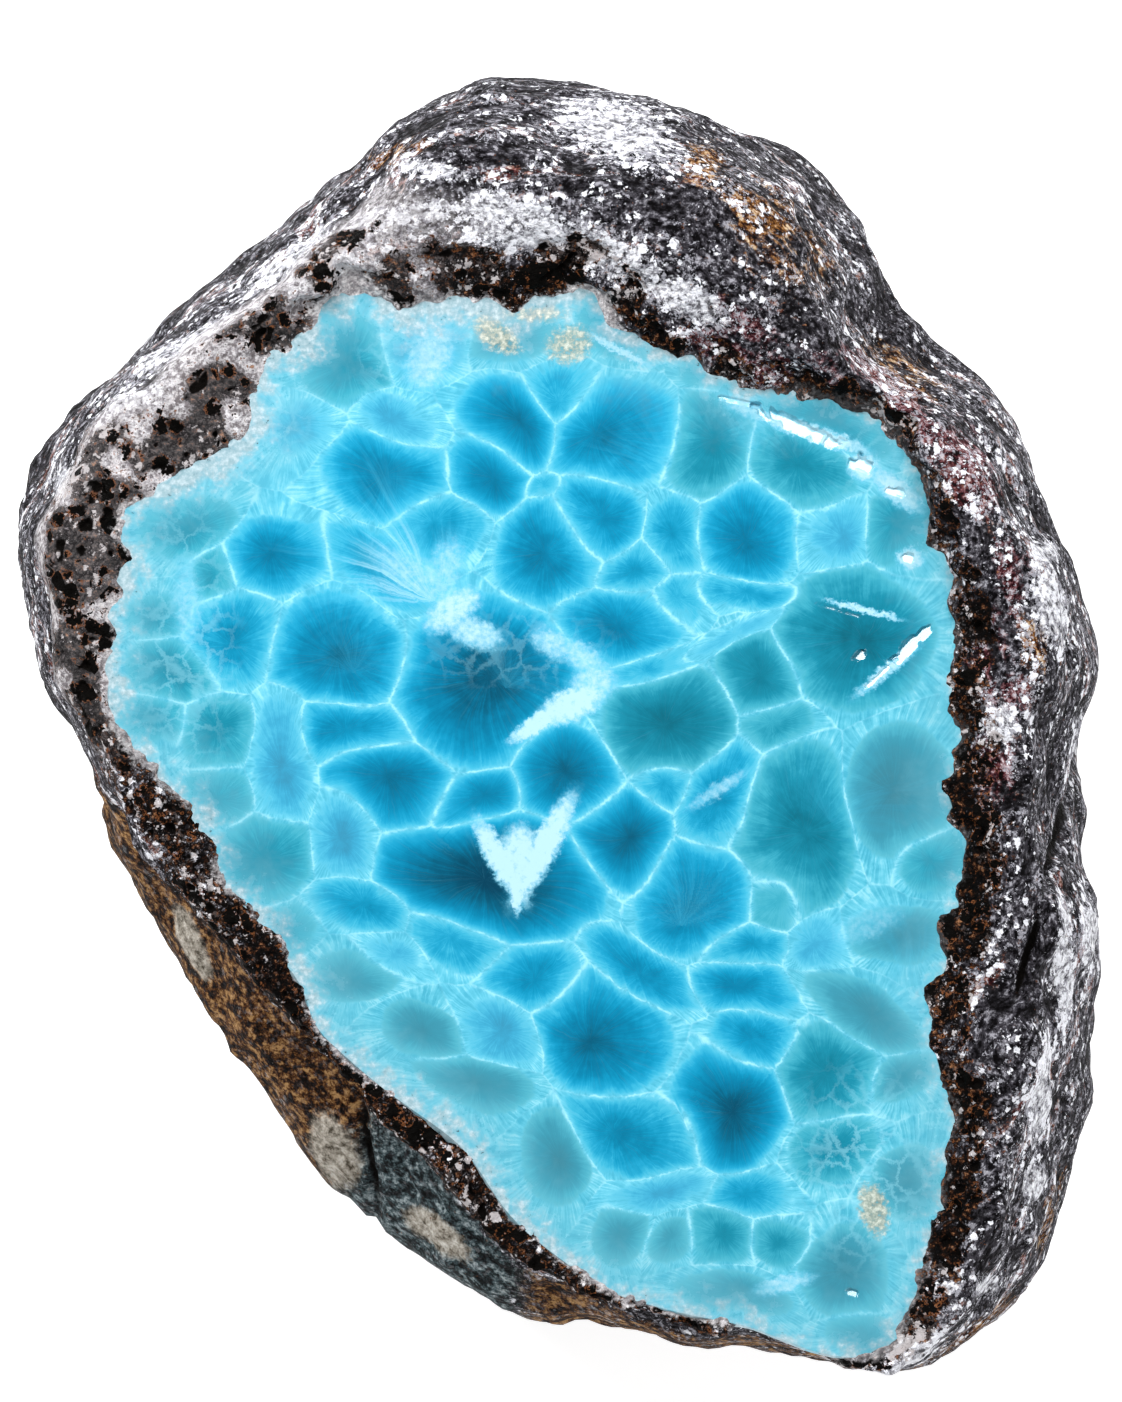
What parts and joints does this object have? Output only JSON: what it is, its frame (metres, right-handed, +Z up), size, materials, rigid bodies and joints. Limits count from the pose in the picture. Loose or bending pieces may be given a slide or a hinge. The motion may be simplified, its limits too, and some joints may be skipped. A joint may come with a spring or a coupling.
{
  "type": "larimar specimen in basalt",
  "caption": "Hand-sized nodule of blue larimar in dark basalt, with one polished window, lying on the flat break on its back.",
  "frame": {"origin": "middle of the stone's outline, on the plane that it rests on", "axes": "+Z up out of the polished window, +Y along the stone's length towards its broad end, +X to the right when the window is looked at from above"},
  "size_m": [0.1002, 0.119, 0.0502],
  "materials": {
    "basalt": "weathered, slightly shining, with white flecks",
    "larimar": "polished"
  },
  "bodies": {
    "root": {"basalt_host": "basalt", "larimar_fill": "larimar"}
  },
  "joints": []
}
